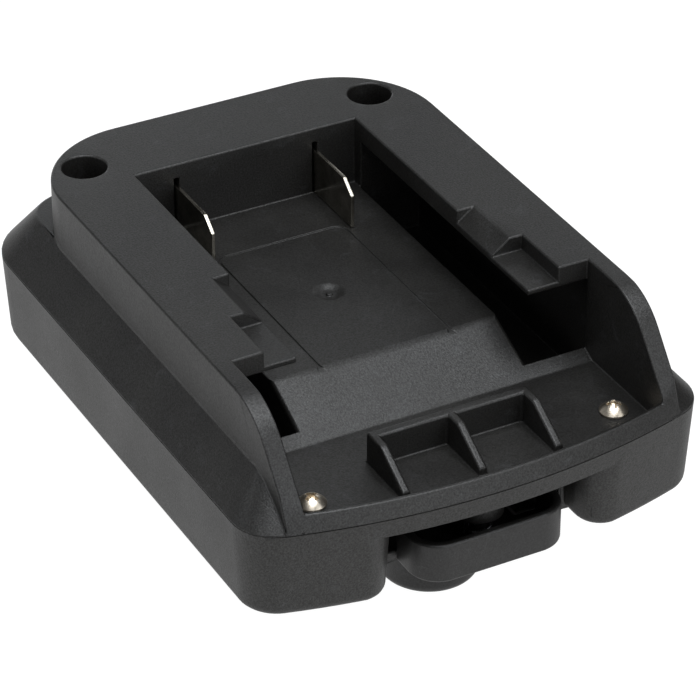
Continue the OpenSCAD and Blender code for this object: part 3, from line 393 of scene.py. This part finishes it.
def coil_path(lowest, highest, turns, wire_r):
    """A helix in a box, whose pitch shrinks to about the wire's own width in both end turns."""
    angle = np.linspace(0, turns, 48 * turns + 1)
    ends = (0, 0.7, 1.4, turns - 1.4, turns - 0.7, turns)
    pitch = np.interp(angle, ends, (0.42, 0.42, 1, 1, 0.42, 0.42))
    climb = np.concatenate([[0], np.cumsum((pitch[1:] + pitch[:-1]) / 2)])
    climb = climb / climb[-1]
    middle = (lowest + highest) / 2
    coil_r = (highest[0] - lowest[0]) / 2 - wire_r
    return np.stack([middle[0] + coil_r * np.cos(2 * np.pi * angle),
                     middle[1] + coil_r * np.sin(2 * np.pi * angle),
                     lowest[2] + wire_r + (highest[2] - lowest[2] - 2 * wire_r) * climb], axis=-1)


spring_low, spring_high = (np.array(corner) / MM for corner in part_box("latch_spring"))
coil = coil_path(spring_low, spring_high, SPRING_TURNS, SPRING_WIRE_R)
spring_steel = plated_metal("drawn spring steel", "#85868a", "#a9abae", 0.2, 0.36)
spring = skin_piece("latch_spring_coil", [closed_skin(tube_rings(coil, SPRING_WIRE_R, 14, (0, 0, 1)))],
                    spring_steel, ["latch_spring"])
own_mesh(spring)

# Terminal block: a black polyester moulding behind the bay's back wall that holds the two battery
# blades. Two small screws hold it up under the cover's roof.
BLOCK_EDGE = 0.35 * MM
dressed("terminal_block", "terminal_block_moulding", BLOCK_EDGE, insulator)
screw_pair("terminal_block_screws", "terminal_block_screw_pair", SMALL_HEAD_R, SMALL_HEAD_H, SMALL_SHANK_R,
           SMALL_PITCH, True, (30, 75))

# Battery blades: two upright blades of nickel-plated brass that stand out of the bay's back wall. They
# are stamped with a smooth edge, and pressed through slots in the block.
BLADE_EDGE = 0.14 * MM
blade_nickel = plated_metal("nickel plating on brass", "#9c978c", "#c9c4b8", 0.14, 0.24)
dressed("blade_positive", "blade_positive_plate", BLADE_EDGE, blade_nickel)
dressed("blade_negative", "blade_negative_plate", BLADE_EDGE, blade_nickel)

# Push-on receptacles: four rolled sockets of tinned brass, pushed onto the tabs of the blades and of
# the clips. Each is crimped to a lead by its barrel.
SOCKET_EDGE = 0.08 * MM
tinned_brass = plated_metal("tin on brass", "#b3aa92", "#cfc9b8", 0.26, 0.4)
for end in ("blade_receptacle", "clip_receptacle"):
    for pole in ("positive", "negative"):
        dressed(f"{end}_{pole}", f"{end}_{pole}_socket", SOCKET_EDGE, tinned_brass,
                segments=2)

# Receptacle sleeves: soft covers of milky nylon, slipped over the receptacles so that no live metal
# stands open in the well.
SLEEVE_EDGE = 0.2 * MM


def soft_plastic(name, deep, pale, rough_low, rough_high, depth):
    """Extruded or moulded soft plastic: smooth, slightly clouded, with a dull drag along it. A depth
    in millimetres lets light sink in, as in milky nylon."""
    material, tree, shader = new_material(name)
    place = add(tree, "TexCoord", {}).outputs["Object"]
    cloud = add(tree, "TexNoise", {"Vector": place, "Scale": per_mm(6), "Detail": 4, "Roughness": 0.6})
    drag = add(tree, "TexNoise", {"Vector": place, "Scale": per_mm(0.8), "Detail": 3, "Roughness": 0.6})
    pales = add(tree, "MapRange", {"Value": cloud.outputs["Fac"], "From Min": 0.3, "From Max": 0.7})
    tint = add(tree, "Mix", {0: pales.outputs["Result"], 6: linear(deep), 7: linear(pale)}, data_type="RGBA")
    tree.links.new(tint.outputs[2], shader.inputs["Base Color"])
    sheen = add(tree, "MapRange", {"Value": drag.outputs["Fac"], "From Min": 0.3, "From Max": 0.7,
                                   "To Min": rough_low, "To Max": rough_high})
    tree.links.new(sheen.outputs["Result"], shader.inputs["Roughness"])
    skin = add(tree, "Bump", {"Height": drag.outputs["Fac"], "Strength": 0.2, "Distance": 0.03 * MM})
    tree.links.new(skin.outputs["Normal"], shader.inputs["Normal"])
    shader.inputs["Subsurface Weight"].default_value = float(depth > 0)
    shader.inputs["Subsurface Radius"].default_value = (depth * MM, depth * MM, depth * MM)
    shader.inputs["Subsurface Scale"].default_value = 1.0
    shader.inputs["IOR"].default_value = 1.53
    return material


milky_nylon = soft_plastic("milky nylon sleeve", "#d8d6cc", "#e9e7df", 0.3, 0.42, 1.0)
for end in ("blade_sleeve", "clip_sleeve"):
    for pole in ("positive", "negative"):
        dressed(f"{end}_{pole}", f"{end}_{pole}_cover", SLEEVE_EDGE, milky_nylon)

# Leads: two stranded wires in soft vinyl, red for plus and black for minus. Each runs down from its
# blade, forward through the well, up and over, and down to its clip.
LEAD_R = 1.4
LEAD_SWING = 3.6 * 2 * LEAD_R
LEAD_GRIP = 1.2


def bezier(start, first, second, end):
    """Points of a cubic curve between two ends, drawn out by two handles."""
    t = np.linspace(0, 1, 40)[:, None]
    return (1 - t) ** 3 * start + 3 * t * (1 - t) ** 2 * first + 3 * t * t * (1 - t) * second + t ** 3 * end


def lead_path(pole):
    """Two curves from the blade's receptacle to a middle point and on to the clip's receptacle,
    each end carried straight on into its barrel."""
    upper_low, upper_high = (np.array(corner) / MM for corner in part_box(f"blade_receptacle_{pole}"))
    lower_low, lower_high = (np.array(corner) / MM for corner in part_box(f"clip_receptacle_{pole}"))
    start = np.array([*(upper_low + upper_high)[:2] / 2, upper_low[2]])
    end = np.array([*(lower_low + lower_high)[:2] / 2, lower_high[2]])
    middle = (start + end) / 2
    swing = np.array([0, 0, LEAD_SWING])
    grip = np.array([0, 0, LEAD_GRIP])
    return np.concatenate([[start + grip], bezier(start, start - swing, middle - swing, middle),
                           bezier(middle, middle + swing, end + swing, end)[1:], [end - grip]])


red_vinyl = soft_plastic("red vinyl insulation", "#9c1717", "#b52420", 0.34, 0.48, 0)
black_vinyl = soft_plastic("black vinyl insulation", "#151516", "#212122", 0.34, 0.48, 0)
for pole, vinyl, finish in (("positive", red_vinyl, "wire_red"), ("negative", black_vinyl, "wire_black")):
    lead = tube_rings(lead_path(pole), LEAD_R, 20, (1, 0, 0))
    skin_piece(f"lead_{pole}", [closed_skin(lead)], vinyl, [f"wire_{pole}"])

# Top cover: the upper half, with the battery bay, its two rails, the deck and the lip. It is the same
# black nylon, moulded in one shot, and closes the base along the parting line below the skirt.
COVER_EDGE = 0.32 * MM
# Boxes in millimetres and the larger radius of the edges in them: the stop bar with its gussets, the
# ramp's top, its two sides, and the rim of the top.
SOFT = [((-21, -58, 34.5), (21, -36, 43), 0.6 * MM),
        ((-25, -21, 39.6), (25, -18, 40.6), 0.7 * MM),
        ((-25.2, -34, 34.5), (-24, -18, 40.6), 0.9 * MM),
        ((24, -34, 34.5), (25.2, -18, 40.6), 0.9 * MM),
        ((-43, -40, 54.5), (43, 60, 55.5), 0.45 * MM)]
cover_nylon = glass_filled_nylon("glass-filled nylon cover", "#131211", "#1b1a18", 0.4, 0.5, 0.045, 0.18)
dressed("top_cover", "top_cover_moulding", COVER_EDGE, cover_nylon,
        crisp=PARTING_SIDES, soft=SOFT, even=True)

# Cover screws: four nickel-plated steel pan heads with a cross recess, two on the front deck and two
# behind the bay. They cut their own thread in the base's posts.
HEAD_R = 2.8
HEAD_H = 2.0
SHANK_R = 1.45
PITCH = 1.1
screw_pair("front_screws", "front_screw_pair", HEAD_R, HEAD_H, SHANK_R, PITCH, False, (22, 63))
screw_pair("rear_screws", "rear_screw_pair", HEAD_R, HEAD_H, SHANK_R, PITCH, False, (40, 5))

# Floor and light: a plain pale table under a large overhead softbox, with weaker ones all round. The
# table shows white to the camera and in reflections, and keeps a soft share of the shadow.
TABLE_HALF = 40.0
GLOW_SHARE = 0.86
GLOW_REFLECTED = 0.85
GLOW_SEEN = 1.15
LAMP_COLOUR = (0.95, 0.975, 1)
LAMP_AIM = Vector((0, 0, 0.03))
STUDIO_GREY = 0.035
table_mesh = bpy.data.meshes.new("table")
table_mesh.from_pydata([(-TABLE_HALF, -TABLE_HALF, 0), (TABLE_HALF, -TABLE_HALF, 0),
                        (TABLE_HALF, TABLE_HALF, 0), (-TABLE_HALF, TABLE_HALF, 0)], [], [(0, 1, 2, 3)])
table_paint, tree, shader = new_material("white table laminate")
shader.inputs["Base Color"].default_value = linear("#f2f2f2")
shader.inputs["Roughness"].default_value = 0.6
rays = add(tree, "LightPath", {})
seen = add(tree, "Math", {0: rays.outputs["Is Camera Ray"], 1: rays.outputs["Is Glossy Ray"]},
           operation="MAXIMUM")
seen = add(tree, "Math", {0: seen.outputs["Value"], 1: rays.outputs["Is Transmission Ray"]},
           operation="MAXIMUM")
share = add(tree, "Math", {0: seen.outputs["Value"], 1: GLOW_SHARE}, operation="MULTIPLY")
level = add(tree, "MapRange", {"Value": rays.outputs["Is Camera Ray"], "To Min": GLOW_REFLECTED,
                               "To Max": GLOW_SEEN})
glow = add(tree, "Emission", {"Color": (1, 1, 1, 1), "Strength": level.outputs["Result"]})
mixed = add(tree, "MixShader", {"Fac": share.outputs["Value"], 1: shader.outputs["BSDF"],
                                2: glow.outputs["Emission"]})
tree.links.new(mixed.outputs["Shader"], tree.nodes["Material Output"].inputs["Surface"])
table_mesh.materials.append(table_paint)
table = bpy.data.objects.new("table", table_mesh)
bpy.context.collection.objects.link(table)


def softbox(name, place, width, watts):
    """A square area lamp at a place, facing the adapter."""
    lamp = bpy.data.lights.new(name, "AREA")
    lamp.size = width
    lamp.color = LAMP_COLOUR
    lamp.energy = watts
    box = bpy.data.objects.new(name, lamp)
    box.location = place
    box.rotation_euler = (LAMP_AIM - Vector(place)).to_track_quat("-Z", "Y").to_euler()
    bpy.context.collection.objects.link(box)


softbox("overhead softbox", (0.05, -0.12, 1.18), 0.9, 14.5)
softbox("front softbox", (0.05, -1.15, 0.26), 0.9, 3.7)
softbox("front right softbox", (0.50, -0.85, 0.60), 0.7, 2.5)
softbox("back softbox", (0.21, 1.17, 0.22), 0.6, 2.4)
softbox("left back softbox", (-0.62, 0.88, 0.48), 0.6, 0.3)
softbox("right back softbox", (0.77, 0.77, 0.54), 0.6, 0.9)
softbox("left softbox", (-1.10, 0.20, 0.40), 0.6, 2.4)
softbox("camera fill", (-0.55, -0.55, 0.95), 0.6, 1.0)
world = bpy.data.worlds.new("studio")
world.use_nodes = True
world.node_tree.nodes["Background"].inputs["Color"].default_value = (STUDIO_GREY, STUDIO_GREY, STUDIO_GREY, 1)
bpy.context.scene.world = world

# Camera: a long lens above the front left corner, as in the photograph. It stands about 0.7 m away
# and looks down by about 33 degrees.
SENSOR_WIDTH = 36
FOCAL_LENGTH = 185.14
CAMERA_PLACE = (-0.277, -0.52395, 0.4105)
CAMERA_TURN = (57.2, 0, -28.1)
lens = bpy.data.cameras.new("camera")
lens.sensor_width = SENSOR_WIDTH
lens.lens = FOCAL_LENGTH
camera = bpy.data.objects.new("camera", lens)
camera.location = CAMERA_PLACE
camera.rotation_euler = np.radians(CAMERA_TURN).tolist()
bpy.context.collection.objects.link(camera)
bpy.context.scene.camera = camera
bpy.context.scene.view_settings.view_transform = "Standard"
